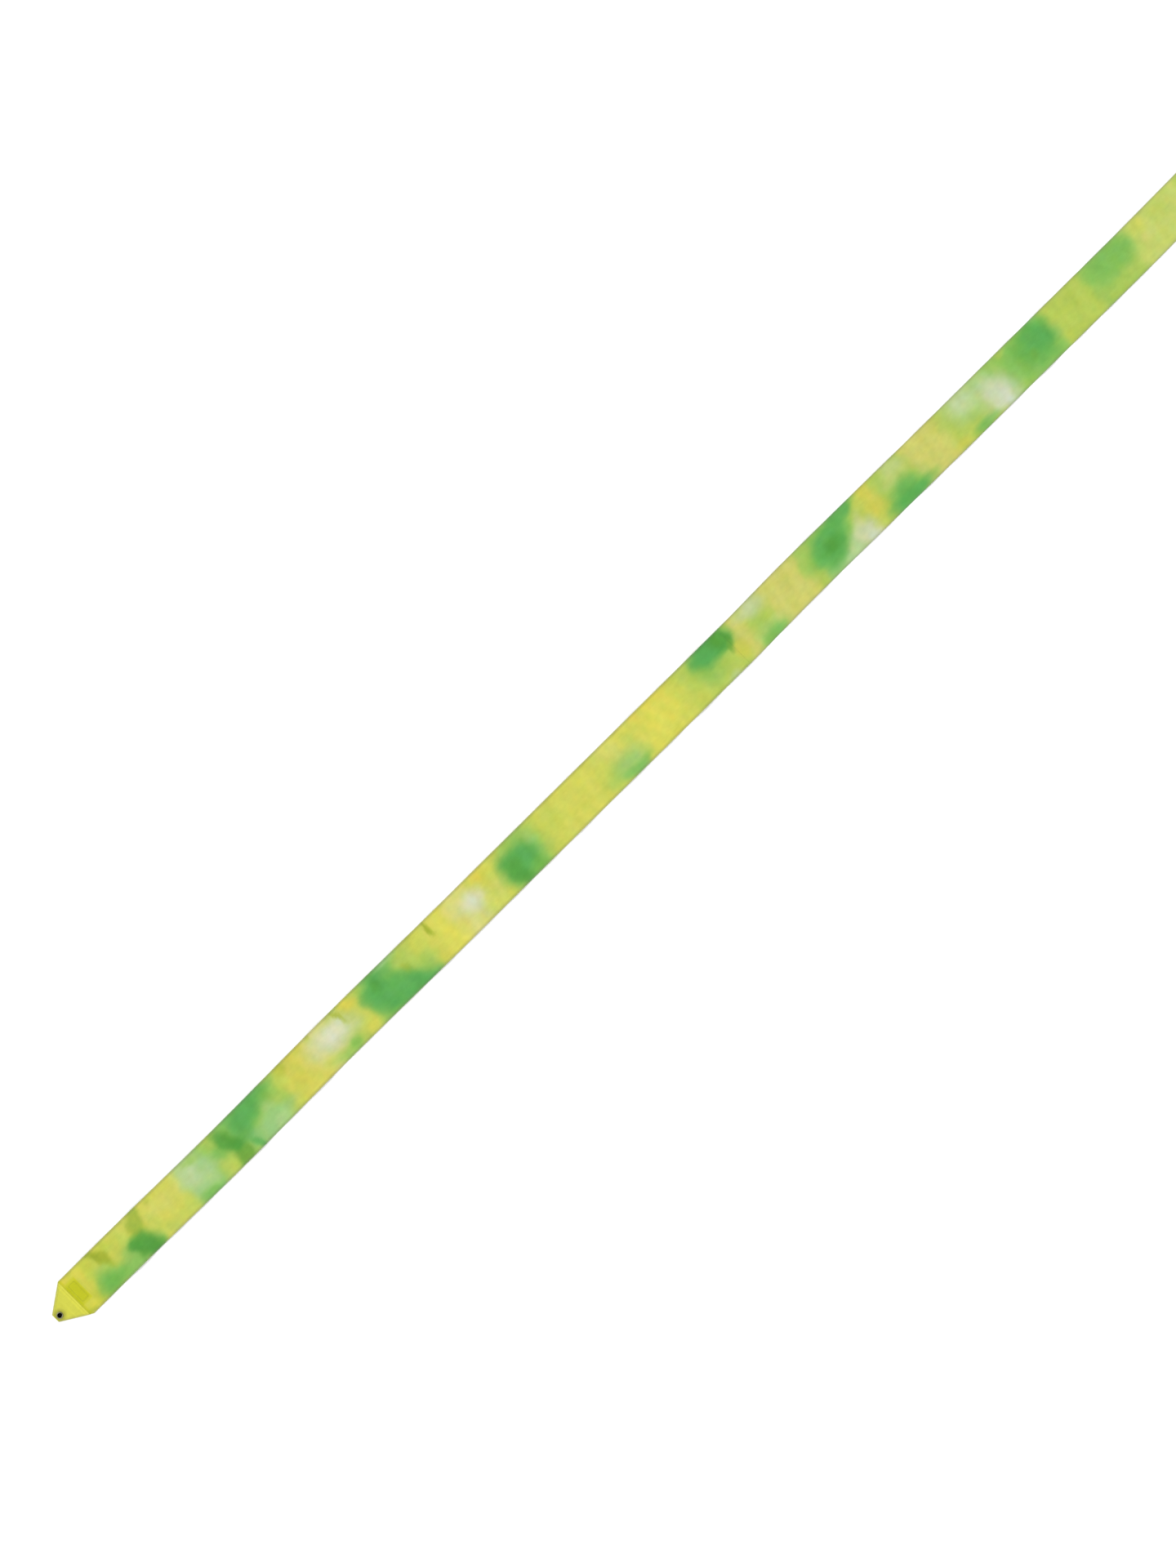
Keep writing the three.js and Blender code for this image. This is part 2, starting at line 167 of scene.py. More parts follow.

# Patches, painted in this order: colour, how far along, how far across, length, width, tilt in degrees,
# strength and softness of the edge. Millimetres. The olive and olive_green streaks at along 78, 128, 348,
# 391, 430 and 561 lie on creases and are painted shade.
PATCHES = (
    ("orange", 33, 20, 14, 8, 0, .6, .7), ("olive", 33, -23, 14, 6, 0, .5, .6),
    ("bright", 46, 12, 8, 30, 0, .5, .7), ("orange", 50, 4, 7, 38, 0, .35, .7),
    ("mustard", 49, -14, 9, 14, 0, .6, .7), ("straw_green", 62, 16, 24, 16, 0, .4, .7),
    ("lime", 84, 0, 60, 26, 0, .7, .8), ("leaf", 74, -6, 32, 20, 0, .6, .7),
    ("light_green", 96, -18, 74, 22, 0, .85, .6), ("leaf", 104, -6, 20, 16, 0, .6, .8),
    ("grass", 70, -15, 30, 22, 0, .95, .7), ("olive", 78, 12, 30, 12, -62, 1, .45),
    ("gold", 92, 4, 14, 12, 0, .5, .7), ("olive_green", 128, 12, 36, 18, 64, .95, .35),
    ("moss", 122, -3, 22, 9, 6, .7, .6), ("fern", 123.5, -12, 35, 25, -28, 1, .45),
    ("dark_green", 114, -8, 13, 10, -20, .95, .7), ("dark_green", 129, -17, 18, 14, -45, .95, .7),
    ("lime", 142, -6, 16, 24, 0, .5, .8), ("olive", 153, 19, 8, 7, -40, .4, .7),
    ("lime", 156, -19, 22, 12, 0, .6, .7), ("sand", 165, 8, 34, 22, 0, .5, .7),
    ("lime", 184, -16, 26, 16, 0, .6, .8), ("pale_green", 216, -4, 42, 50, 0, .7, .6),
    ("green_mist", 206, 9, 30, 40, -6, .95, .8), ("leaf", 238, 13, 20, 24, 0, .8, .7),
    ("pale_green", 208, -13, 24, 12, 0, .6, .7), ("light_green", 211, -22, 30, 12, 0, .95, .6),
    ("leaf", 214, 19, 16, 8, -20, .7, .7), ("pale_green", 228, 4, 28, 18, -20, .6, .7),
    ("green_mist", 222, -4, 18, 20, 0, .45, .8), ("lime", 243, -16, 22, 18, 0, .7, .7),
    ("grass", 246, 3, 18, 20, -45, .7, .7), ("green", 278, 0, 24, 40, 25, .8, .6),
    ("fern", 256, 9, 30, 16, -68, .95, .5), ("moss", 262, -17, 22, 18, -60, .95, .5),
    ("dark_green", 263, -3, 20, 13, -30, 1, .6), ("light_green", 266, 21, 20, 9, 0, .7, .7),
    ("emerald", 291, 15, 40, 26, 0, .9, .6), ("green", 310, 20, 42, 13, 0, .85, .7),
    ("grass", 321, 13, 22, 16, 0, .6, .8), ("pale_green", 308, -15, 54, 25, 6, .9, .6),
    ("green_mist", 316, -20, 20, 12, 0, .4, .8), ("green_mist", 314, 2, 16, 10, 0, .3, .8),
    ("green", 281, -19, 16, 8, -55, .8, .6), ("olive", 348, 18, 12, 12, 45, .5, .8),
    ("gold", 358, -1, 24, 24, -20, .7, .8), ("bright", 372, -17, 28, 14, 0, .5, .7),
    ("leaf", 332, 2, 18, 26, 0, .5, .8), ("cream", 392, 2, 34, 40, 0, .8, .7),
    ("mist", 414, 4, 56, 30, -4, .8, .7), ("white", 415, 7, 28, 18, 0, .95, .9),
    ("olive", 391, 20, 6, 7, 0, .4, .6), ("lime", 398, -15, 24, 14, 0, .5, .7),
    ("leaf", 418, -20, 40, 14, 0, .8, .6), ("grass", 429, -18, 14, 12, 30, .5, .7),
    ("olive", 430, 15, 22, 6, -66, .6, .5), ("orange", 446, 18, 22, 16, 0, .7, .7),
    ("gold", 450, -17, 22, 16, 0, .6, .7), ("green", 494, 1, 60, 56, 0, .98, .4),
    ("lime", 462, 21, 18, 12, 0, .8, .6), ("emerald", 478, 6, 28, 34, 0, .6, .7),
    ("dark_green", 482, 10, 10, 14, 0, .4, .7), ("emerald", 489, -16, 30, 16, 0, .6, .7),
    ("light_green", 503, 14, 22, 20, 0, .6, .7), ("pale_green", 507, 23, 26, 8, 0, .8, .6),
    ("lime", 522, 9, 28, 28, 0, .85, .6), ("grass", 513, -2, 14, 12, 0, .3, .7),
    ("emerald", 518, -18, 58, 22, -6, .97, .5), ("green", 506, -10, 26, 24, 0, .8, .6),
    ("olive", 517, 3, 7, 10, 0, .4, .7), ("leaf", 540, -9, 22, 20, 0, .7, .8),
    ("citron", 545, 10, 18, 22, 0, .5, .7), ("olive", 561, 16, 5.5, 18, 6, .95, .5),
    ("gold", 558, -19, 18, 12, 40, .6, .6), ("bright", 580, -8, 26, 26, 0, .5, .7),
    ("cream", 600, 6, 30, 34, 0, .7, .7), ("mist", 616, 2, 30, 26, 0, .75, .8),
    ("white", 616, 3, 18, 18, 0, .8, .9), ("mist", 621, -13, 12, 20, 0, .5, .7),
    ("pale_lime", 632, -15, 24, 18, 0, .6, .8), ("pale_lime", 648, -2, 16, 24, 0, .5, .8),
    ("orange", 640, 19, 22, 12, 0, .6, .6), ("citron", 652, 10, 18, 18, 0, .6, .7),
    ("leaf", 706, 0, 26, 44, 0, .6, .7), ("green", 681, -4, 48, 46, -4, .98, .5),
    ("emerald", 687, -4, 22, 26, 0, .6, .7), ("dark_green", 671, -4, 18, 26, -20, .7, .8),
    ("dark_green", 677, -18, 16, 12, -40, .6, .7), ("grass", 696, -20, 22, 12, 0, .8, .7),
    ("pale_green", 706, 8, 12, 16, 0, .4, .8), ("leaf", 690, 20, 34, 10, 0, .5, .8),
    ("lime", 738, 6, 22, 18, 0, .4, .9), ("lime", 808, -12, 22, 26, 0, .5, .8),
    ("pale_lime", 834, 2, 36, 18, 0, .6, .8), ("cream", 824, 18, 30, 16, 0, .5, .7),
    ("leaf", 832, -12, 46, 26, 0, .7, .6), ("pale_green", 838, -11, 34, 22, 0, .6, .7),
    ("light_green", 838, -20, 36, 12, 0, .85, .6), ("lime", 852, 6, 14, 16, 0, .4, .7),
    ("orange", 900, 21, 30, 10, 0, .5, .6), ("orange", 872, 21, 18, 9, 0, .4, .6),
    ("bright", 893, 4, 48, 30, 0, .5, .7), ("citron", 905, -19, 60, 14, 0, .4, .8),
    ("citron", 938, -14, 26, 22, 0, .7, .7), ("leaf", 966, -4, 40, 24, 0, .75, .7),
    ("lime", 986, -14, 26, 20, 0, .6, .7), ("green_mist", 978, -23, 16, 8, 0, .5, .7),
    ("grass", 958, 12, 26, 26, 0, .5, .7), ("emerald", 978, 17, 54, 32, 0, .98, .35),
    ("fern", 992, 16, 18, 24, 0, .9, .4), ("dark_green", 986, 14, 20, 20, 0, .5, .7),
    ("moss", 995, 3, 9, 14, 0, .85, .55), ("gold", 1003, -8, 16, 18, 0, .8, .6),
    ("mist", 1036, 17, 32, 20, 0, .85, .7), ("leaf", 1037, 1, 20, 28, 0, .35, .7),
    ("pale_green", 1040, -14, 38, 14, 0, .5, .8), ("light_green", 1038, -21, 36, 14, 0, .95, .6),
    ("leaf", 1113, 8, 20, 34, 0, .7, .7), ("pale_green", 1142, -21, 42, 14, 0, .8, .7),
    ("green_mist", 1164, -18, 34, 20, 20, .8, .7), ("mist", 1183, -15, 28, 26, -10, .95, .6),
    ("mist", 1181, 0, 12, 22, -30, .5, .7), ("cool_white", 1186, -21, 24, 12, 0, .5, .8),
    ("green", 1145, 5, 56, 34, 14, .96, .45), ("green", 1172, 20, 44, 14, 12, .9, .5),
    ("green", 1142, -7, 34, 20, 20, .85, .6), ("dark_green", 1145, 2, 22, 14, 8, .8, .9),
    ("lime", 1192, 16, 12, 16, 0, .6, .8), ("gold", 1206, 4, 24, 36, 0, .5, .8),
    ("lime", 1205, -18, 20, 14, 0, .6, .8), ("leaf", 1224, 14, 16, 16, 0, .4, .8),
    ("green_mist", 1246, 18, 24, 14, 0, .35, .8), ("mist", 1244, 12, 34, 20, 0, .35, .8),
    ("light_green", 1242, -11, 48, 26, 0, .6, .8), ("green", 1242, -11, 34, 22, 0, .75, .7),
    ("green", 1243, -21, 58, 16, 0, .95, .6), ("emerald", 1240, -20, 34, 10, 0, .5, .8),
    ("lime", 1318, 18, 24, 20, 0, .7, .8), ("gold", 1322, -20, 28, 12, 0, .6, .7),
    ("pale_green", 1356, 8, 60, 34, 0, .6, .7), ("green_mist", 1344, 14, 38, 28, 0, .8, .8),
    ("mist", 1344, 16, 20, 20, 0, .4, .8), ("leaf", 1354, -6, 30, 14, 0, .4, .8),
    ("light_green", 1352, -21, 34, 12, 0, .9, .6), ("pale_green", 1376, 17, 26, 18, 0, .6, .7),
    ("green_mist", 1372, 14, 22, 20, 0, .5, .8), ("mist", 1380, -6, 42, 34, -8, .8, .8),
    ("cool_white", 1384, -11, 28, 28, 0, .95, .8), ("green_mist", 1397, -14, 14, 24, 0, .5, .8),
    ("light_green", 1416, 0, 34, 40, 0, .7, .6), ("lime", 1409, 22, 14, 8, 0, .5, .6),
    ("light_green", 1444, -19, 44, 16, 0, .8, .5), ("green", 1446, 6, 44, 42, 0, .9, .5),
    ("grass", 1425, 10, 24, 30, 0, .5, .7), ("moss", 1434, -5, 12, 8, 0, .4, .8),
    ("emerald", 1453, 6, 20, 30, 0, .5, .7), ("light_green", 1564, 11, 60, 34, 0, .85, .6),
    ("light_green", 1542, 14, 26, 22, 0, .45, .7), ("grass", 1584, 14, 14, 14, 0, .4, .8),
    ("lime", 1556, -18, 64, 18, 0, .6, .7), ("yellow", 1604, 14, 20, 20, 0, .5, .7),
    ("cream", 1607, -1, 12, 10, 0, .5, .7), ("lime", 1633, 14, 22, 18, 0, .4, .7),
)

# Plain colours, as they look.
TAB_COLOUR = (214, 214, 76)
# painted highlight: the tab's brighter colour along its base, by the fold
FOLD_HIGHLIGHT = (223, 222, 76)
# the tongue's show-through colour; it also paints the shadow just past the tab's base
TONGUE_AND_SHADOW_COLOUR = (194, 198, 16)
EDGE_GREY = (122, 122, 118)
METAL = (0.23, 0.23, 0.15)      # linear
WEBBING_COLOUR = (196, 192, 70)

EDGE_BAND = 1.8              # width of the darker edge
EDGE_DEPTH = 0.9             # and how strongly it shows
WANDER = 1.5                 # how far the patches' edges stray
LIGHT_LEVEL = 1.26           # how bright a white sheet is in this scene's light
GLOSS = 0.005                # how much the cloth's gloss adds to that


def smooth(x):
    """A soft step from 0 to 1."""
    x = np.clip(x, 0, 1)
    return x * x * (3 - 2 * x)


def ramp(x, start, end):
    """A soft step from 0 at start to 1 at end."""
    return smooth((x - start) / (end - start))


def eased(x, points):
    """A smooth curve through (place, value) points."""
    places = np.array([place for place, _ in points], float)
    values = np.array([value for _, value in points], float)
    i = np.clip(np.searchsorted(places, x) - 1, 0, len(places) - 2)
    share = smooth((x - places[i]) / (places[i + 1] - places[i]))
    return values[i] + (values[i + 1] - values[i]) * share


def waves(along, across, wavelength, seed, count=7):
    """Smooth random unevenness of about that wavelength, between about -1.5 and 1.5."""
    rng = random.Random(seed)
    total = np.zeros_like(along, dtype=float)
    for _ in range(count):
        angle = rng.uniform(0, 2 * math.pi)
        length = wavelength * rng.uniform(0.6, 1.8)
        turn = rng.uniform(0, 2 * math.pi)
        distance = along * math.cos(angle) + across * math.sin(angle)
        total += np.sin(2 * math.pi * distance / length + turn)
    return total / math.sqrt(count)


def unseen_dye(start, end):
    """Ground and patches of the same kind for the length that lies rolled up."""
    grounds = ("yellow", "yellow", "sand", "lime", "pale_lime", "leaf", "bright")
    mains = ("green", "green", "light_green", "pale_green", "mist", "gold", "lime")
    hearts = {"green": "emerald", "light_green": "green", "mist": "white"}
    rng = random.Random(11)
    ground = []
    patches = []
    along = start
    while along < end:
        ground.append((along, rng.choice(grounds)))
        main = rng.choice(mains)
        size = rng.uniform(26, 60)
        across = rng.uniform(-16, 16)
        width = rng.uniform(22, 44)
        tilt = rng.uniform(-30, 30)
        patches.append((main, along, across, size, width, tilt, 0.9, rng.uniform(0.35, 0.6)))
        heart = hearts.get(main, main)
        patches.append((heart, along + rng.uniform(-6, 6), across, size * 0.45, 18, 0, 0.6, 0.7))
        along += rng.uniform(34, 70)
    return ground, patches


def linear(colour):
    """sRGB from 0 to 255 as the linear colour that looks like it in this scene's light."""
    c = np.clip(np.asarray(colour, float) / 255, 0, 1)
    light = np.where(c <= 0.04045, c / 12.92, ((c + 0.055) / 1.055) ** 2.4)
    return np.maximum(light - GLOSS, 0.004) / LIGHT_LEVEL


def paint(along, across):
    """The dye's colour (sRGB, 0 to 255) at places on the ribbon."""
    more_ground, more_patches = unseen_dye(GROUND[-1][0] + 30, RIBBON_LENGTH + 40)
    stray_along = waves(along, across, 26, 1) + 0.3 * waves(along, across, 9, 2)
    stray_across = waves(along, across, 26, 3) + 0.3 * waves(along, across, 9, 4)
    place_along = along + WANDER * stray_along
    place_across = across + WANDER * stray_across
    ground = list(GROUND) + more_ground
    channels = []
    for channel in range(3):
        stops = [(place, COLOURS[name][channel]) for place, name in ground]
        channels.append(eased(place_along, stops))
    colour = np.stack(channels, -1)
    patches = list(PATCHES) + more_patches
    for name, mid_along, mid_across, length, width, tilt, strength, softness in patches:
        near = np.abs(place_along - mid_along) < length + width
        off_along = place_along[near] - mid_along
        off_across = place_across[near] - mid_across
        cos = math.cos(math.radians(tilt))
        sin = math.sin(math.radians(tilt))
        lengthwise = (off_along * cos + off_across * sin) * 2 / length
        widthwise = (off_across * cos - off_along * sin) * 2 / width
        reach = np.hypot(lengthwise, widthwise)
        share = strength * smooth((1 + softness - reach) / (2 * softness))
        colour[near] += (np.array(COLOURS[name]) - colour[near]) * share[..., None]
    tone = 0.012 * waves(along, across, 22, 5) + 0.008 * waves(along, across, 7, 6)
    red = 1 + 0.014 * waves(along, across, 13, 7)
    blue = 1 + 0.03 * waves(along, across, 17, 8)
    tint = np.stack([red, np.ones_like(red), blue], -1)
    return colour * (1 + tone)[..., None] * tint


# ---- The shape of the cloth ----------------------------------------------------------------------

def left_side(along):
    """How far across the ribbon's left edge is; its tab narrows to the tip."""
    return np.minimum(TIP_LEFT + (HALF - TIP_LEFT) * along / LEFT_SHOULDER, HALF)


def right_side(along):
    """How far across the ribbon's right edge is, as a negative number."""
    return np.maximum(TIP_RIGHT - (HALF + TIP_RIGHT) * along / RIGHT_SHOULDER, -HALF)


def webbing_sides(along):
    """How far across the webbing's left and right sides are; they narrow with the tab."""
    left = np.minimum(WEB_LEFT, left_side(along) - WEB_MARGIN)
    right = np.maximum(WEB_RIGHT, right_side(along) + WEB_MARGIN)
    return left, right


def inside_webbing(along, across):
    """How far inside the webbing's outline a place is; negative outside it."""
    left, right = webbing_sides(along)
    from_sides = np.minimum(left - across, across - right)
    from_ends = np.minimum(WEB_END - along, along - WEB_START)
    return np.minimum(from_sides, from_ends)


def crease_rise(along, across):
    """Each crease is a narrow ridge with a shallower dip beside it, and fades inward from its edge."""
    felt = 20
    ridge_width = 2.6
    dip_share = 0.45
    dip_place = 5
    dip_width = 4
    total = np.zeros_like(along, dtype=float)
    for edge_along, side, reach, slant, height in CREASES:
        inward = HALF - side * across
        off = along - edge_along - slant * inward
        near = np.abs(off) < felt
        ridge = np.exp(-np.abs(off[near]) / ridge_width)
        dip = dip_share * np.exp(-np.abs(off[near] - dip_place) / dip_width)
        total[near] += height * (ridge - dip) * (1 - ramp(inward[near], reach * 0.4, reach))
    return total


def ripple(along, across):
    """How far the laid cloth stands off what it lies on: long rises, curled edges, pucker and creases."""
    edge = np.abs(across) / HALF
    rise = 0.5 * smooth(0.5 + 0.4 * waves(along, 0.5 * across, 70, 21))
    rise = rise + 0.12 * waves(along, across, 24, 22)
    curl = 0.45 * edge ** 4 * (1 + waves(along, np.sign(across) * 40, 60, 23))
    sewn = along < LEADER_END
    pucker = np.where(sewn, 0.07, 0.03) * edge ** 3 * waves(along, across, 9, 24)
    past_webbing = ramp(along, WEB_END - 4, WEB_END + 16)
    before_roll = 1 - ramp(along, ROLL_CENTRE - 60, ROLL_CENTRE - 8)
    return past_webbing * before_roll * np.maximum(rise + curl + pucker + crease_rise(along, across), 0)


def stack(along, across):
    """Heights of the middles of the tab's, leader's, webbing's and ribbon's cloth, from the floor up."""
    single = ramp(along, LEADER_END, LEADER_END + STEP_DOWN)
    rest = SEAM_ROOM * (1 - single)
    foot = (EYELET_ROOM - SEAM_ROOM) * (1 - ramp(along, 12, 19))
    in_tab = 1 - ramp(along, TAB_END, TAB_END + 2.5)
    sandwiched = ramp(along, CLOTH_START - 3, CLOTH_START)
    doubled = sandwiched * (1 - single)
    web = ramp(inside_webbing(along, across), -3.2, -0.5)
    low = ripple(along, across) + 0.04 * in_tab * ramp(along, 10, 16) * waves(along, across, 18, 41)
    heights = {"back": rest + foot + TAB_CLOTH / 2}
    low = low + rest + in_tab * (foot + TAB_CLOTH)
    heights["leader"] = low + AIR + SATIN / 2
    low = low + doubled * (AIR + SATIN)
    heights["web"] = low + AIR + WEBBING / 2
    low = low + web * (AIR + WEBBING)
    heights["ribbon"] = low + AIR + SATIN / 2
    low = low + sandwiched * (AIR + SATIN)
    heights["front"] = low + AIR + TAB_CLOTH / 2
    return heights


def sideways(along, across):
    """Where a place of the laid cloth lies across the frame."""
    return across + eased(along, LAY)


def roll_shape():
    """The outermost radius of the cloth's middle, and how much the radius shrinks each turn."""
    outer = ROLL_RADIUS - SATIN / 2 - AIR
    angle = 2 * math.pi * ROLL_TURNS
    rolled = RIBBON_LENGTH - HEM - ROLL_CENTRE
    return outer, (outer * angle - rolled) * 4 * math.pi / angle ** 2


def roll_point(angle, radius, across):
    """A point of the roll. Its angle runs from the floor, up on the far side and back over the top.
    The turns drift a little sideways, as they do in a roll wound by hand."""
    drift = ramp(angle, 3, 12) * (0.5 * np.sin(0.21 * angle) + 0.35 * np.sin(0.53 * angle + 1))
    x = ROLL_CENTRE + radius * np.sin(angle)
    z = ROLL_RADIUS - radius * np.cos(angle)
    return np.stack(np.broadcast_arrays(x, across + drift, z), -1)


# ---- Meshes -------------------------------------------------------------------------------------

def to_frame(points):
    """Points in millimetres from the tip, as points in the frame, in metres."""
    return np.asarray(points, float) * MM + np.array([TAB_LOW.x, 0, 0])


def new_piece(name, points, faces, material, nodes, sharp=50):
    """A piece of points and faces that stands for the named CAD nodes."""
    mesh = bpy.data.meshes.new(name)
    mesh.from_pydata(to_frame(points).tolist(), [], faces)
    mesh.materials.append(material)
    mesh.shade_smooth()
    mesh.set_sharp_from_angle(angle=math.radians(sharp))
    piece = bpy.data.objects.new(name, mesh)
    bpy.context.scene.collection.objects.link(piece)
    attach(piece, "root")
    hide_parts(*nodes)
    return piece


def cloth(name, along, across, middle, thickness, colour, material, nodes, keep=None):
    """A thin closed sheet round a grid of points, with its places and its colour kept on its points.
    keep says which squares of the grid are cloth; the rest are holes."""
    rows, columns = along.shape
    normal = np.cross(np.gradient(middle, axis=0), np.gradient(middle, axis=1))
    normal /= np.linalg.norm(normal, axis=2, keepdims=True)
    offset = normal * (np.broadcast_to(thickness, along.shape) / 2)[..., None]
    count = rows * columns
    index = np.arange(count).reshape(rows, columns)
    if keep is None:
        keep = np.ones((rows - 1, columns - 1), bool)
    a, b, c, d = index[:-1, :-1], index[1:, :-1], index[1:, 1:], index[:-1, 1:]
    quads = np.stack([a, b, c, d], -1)[keep]
    padded = np.pad(keep, 1)
    rims = []
    sides = (
        (a, b, padded[1:-1, :-2]),
        (b, c, padded[2:, 1:-1]),
        (c, d, padded[1:-1, 2:]),
        (d, a, padded[:-2, 1:-1]),
    )
    for start, end, neighbour in sides:
        edge = keep & ~neighbour
        rims.append(np.stack([end[edge], start[edge], start[edge] + count, end[edge] + count], -1))
    faces = np.concatenate([quads, quads[:, ::-1] + count] + rims)
    points = np.concatenate([(middle + offset).reshape(-1, 3), (middle - offset).reshape(-1, 3)])
    used = np.unique(faces)
    renumber = np.zeros(2 * count, int)
    renumber[used] = np.arange(len(used))
    piece = new_piece(name, points[used], renumber[faces].tolist(), material, nodes)
    place = np.stack([along, across, np.ones_like(along)], -1).reshape(-1, 3)
    place = np.concatenate([place, place * (1, 1, -1)])[used] * MM
    piece.data.attributes.new("place", "FLOAT_VECTOR", "POINT").data.foreach_set("vector", place.ravel())
    keep_colour(piece, np.tile(colour.reshape(-1, 3), (2, 1))[used])
    return piece


def keep_colour(piece, colour):
    """Keeps a colour (sRGB, 0 to 255) on each of the piece's points."""
    rgba = np.concatenate([linear(colour), np.ones((len(colour), 1))], -1)
    piece.data.attributes.new("dye", "FLOAT_COLOR", "POINT").data.foreach_set("color", rgba.ravel())


def tube(path, radius):
    """Points and faces of a closed tube along a path."""
    sides = THREAD_SIDES
    path = np.asarray(path, float)
    run = np.gradient(path, axis=0)
    run /= np.linalg.norm(run, axis=1, keepdims=True)
    side = np.cross(run, (0, 0, 1))
    side /= np.linalg.norm(side, axis=1, keepdims=True)
    up = np.cross(side, run)
    turn = np.arange(sides) * 2 * math.pi / sides
    ring = side[:, None] * np.cos(turn)[None, :, None] + up[:, None] * np.sin(turn)[None, :, None]
    points = (path[:, None] + radius * ring).reshape(-1, 3)
    i, j = np.meshgrid(np.arange(len(path) - 1), np.arange(sides), indexing="ij")
    k = (j + 1) % sides
    corners = [i * sides + j, (i + 1) * sides + j, (i + 1) * sides + k, i * sides + k]
    quads = np.stack(corners, -1).reshape(-1, 4).tolist()
    last = (len(path) - 1) * sides
    caps = [list(range(sides)), list(range(last, last + sides))[::-1]]
    return points, quads + caps


# ---- Materials ----------------------------------------------------------------------------------

class Paint:
    """Builds one procedural material. Sockets are given as name=value, and links as name=socket."""

    def __init__(self, name, **constants):
        self.material = bpy.data.materials.new(name)
        self.material.use_nodes = True
        self.tree = self.material.node_tree
        self.shader = self.tree.nodes["Principled BSDF"]
        for key, value in constants.items():
            self.shader.inputs[key.replace("_", " ")].default_value = value

    def node(self, kind, links=None, settings=None, **values):
        made = self.tree.nodes.new(kind)
        for key, value in (settings or {}).items():
            setattr(made, key, value)
        for key, value in values.items():
            made.inputs[key.replace("_", " ")].default_value = value
        for key, socket in (links or {}).items():
            self.tree.links.new(socket, made.inputs[key])
        return made

    def link(self, socket, name):
        self.tree.links.new(socket, self.shader.inputs[name])

    def math(self, operation, first, second):
        """The outcome of one operation on two sockets or numbers."""
        made = self.tree.nodes.new("ShaderNodeMath")
        made.operation = operation
        for place, value in enumerate((first, second)):
            if isinstance(value, (int, float)):
                made.inputs[place].default_value = value
            else:
                self.tree.links.new(value, made.inputs[place])
        return made.outputs[0]

    def noise(self, coordinates, scale, detail=2.0, stretch=(1, 1, 1)):
        """Noise of that many blots a metre, stretched by a factor along each axis."""
        scales = tuple(scale * factor for factor in stretch)
        mapping = self.node("ShaderNodeMapping", {"Vector": coordinates}, Scale=scales)
        made = self.node("ShaderNodeTexNoise", {"Vector": mapping.outputs[0]}, Scale=1.0, Detail=detail)
        return made.outputs["Fac"]

    def spread(self, noise, low, high):
        """The noise's usual range, 0.3 to 0.7, turned into low to high."""
        links = {"Value": noise}
        made = self.node("ShaderNodeMapRange", links, From_Min=0.3, From_Max=0.7, To_Min=low, To_Max=high)
        return made.outputs[0]

    def shaded(self, colour, noise, low, high):
        """The colour times a factor from low to high."""
        links = {0: colour, 1: self.spread(noise, low, high)}
        return self.node("ShaderNodeVectorMath", links, {"operation": "MULTIPLY"}).outputs[0]

    def bump(self, height, distance, strength=1.0, under=None):
        links = {"Height": height}
        if under is not None:
            links["Normal"] = under
        return self.node("ShaderNodeBump", links, Strength=strength, Distance=distance).outputs[0]


def cloth_paint(name, roughness, threads, weave_depth, mottle, streak, sheen, specular):
    """Woven cloth that takes its colour from the dye: fine threads both ways, streaks along the warp and
    soft unevenness where the dye has run. threads counts the warp's threads in a metre."""
    look = Paint(name, Roughness=roughness, Sheen_Weight=sheen, Sheen_Roughness=0.5,
                 Specular_IOR_Level=specular)
    place = look.node("ShaderNodeAttribute", settings={"attribute_name": "place"}).outputs["Vector"]
    dye = look.node("ShaderNodeAttribute", settings={"attribute_name": "dye"}).outputs["Color"]
    colour = look.shaded(dye, look.noise(place, 160, 3.0), 1 - mottle, 1 + mottle)
    colour = look.shaded(colour, look.noise(place, 1800, 1.0, (0.06, 1, 0)), 1 - streak, 1 + streak)
    look.link(colour, "Base Color")
    rough = look.spread(look.noise(place, 400, 2.0, (0.4, 1, 0)), roughness - 0.05, roughness + 0.07)
    look.link(rough, "Roughness")
    axes = look.node("ShaderNodeSeparateXYZ", {"Vector": place})
    step = 2 * math.pi * threads
    warp = look.math("SINE", look.math("MULTIPLY", axes.outputs["Y"], step), 0)
    weft = look.math("SINE", look.math("MULTIPLY", axes.outputs["X"], step * 0.8), 0)
    weave = look.math("ADD", look.math("MULTIPLY", warp, 0.5), look.math("MULTIPLY", weft, 0.5))
    normal = look.bump(look.noise(place, 260, 2.0), 0.00025, 0.35)
    look.link(look.bump(weave, weave_depth, 0.5, normal), "Normal")
    return look.material


def metal_paint():
    look = Paint("nickel", Metallic=1.0)
    place = look.node("ShaderNodeTexCoord").outputs["Object"]
    wear = look.noise(place, 1500, 3.0)
    look.link(look.spread(wear, 0.2, 0.34), "Roughness")
    grey = look.node("ShaderNodeRGB")
    grey.outputs[0].default_value = (*METAL, 1)
    look.link(look.shaded(grey.outputs[0], look.noise(place, 700, 2.0), 0.93, 1.05), "Base Color")
    look.link(look.bump(wear, 0.00002, 0.4), "Normal")
    return look.material


def thread_paint():
    look = Paint("thread", Roughness=0.6, Sheen_Weight=0.2)
    place = look.node("ShaderNodeTexCoord").outputs["Object"]
    dye = look.node("ShaderNodeAttribute", settings={"attribute_name": "dye"}).outputs["Color"]
    look.link(look.shaded(dye, look.noise(place, 1500, 2.0), 0.88, 1.06), "Base Color")
    look.link(look.bump(look.noise(place, 6000, 1.0), 0.00003, 0.6), "Normal")
    return look.material


# ---- The ribbon and the leader ------------------------------------------------------------------

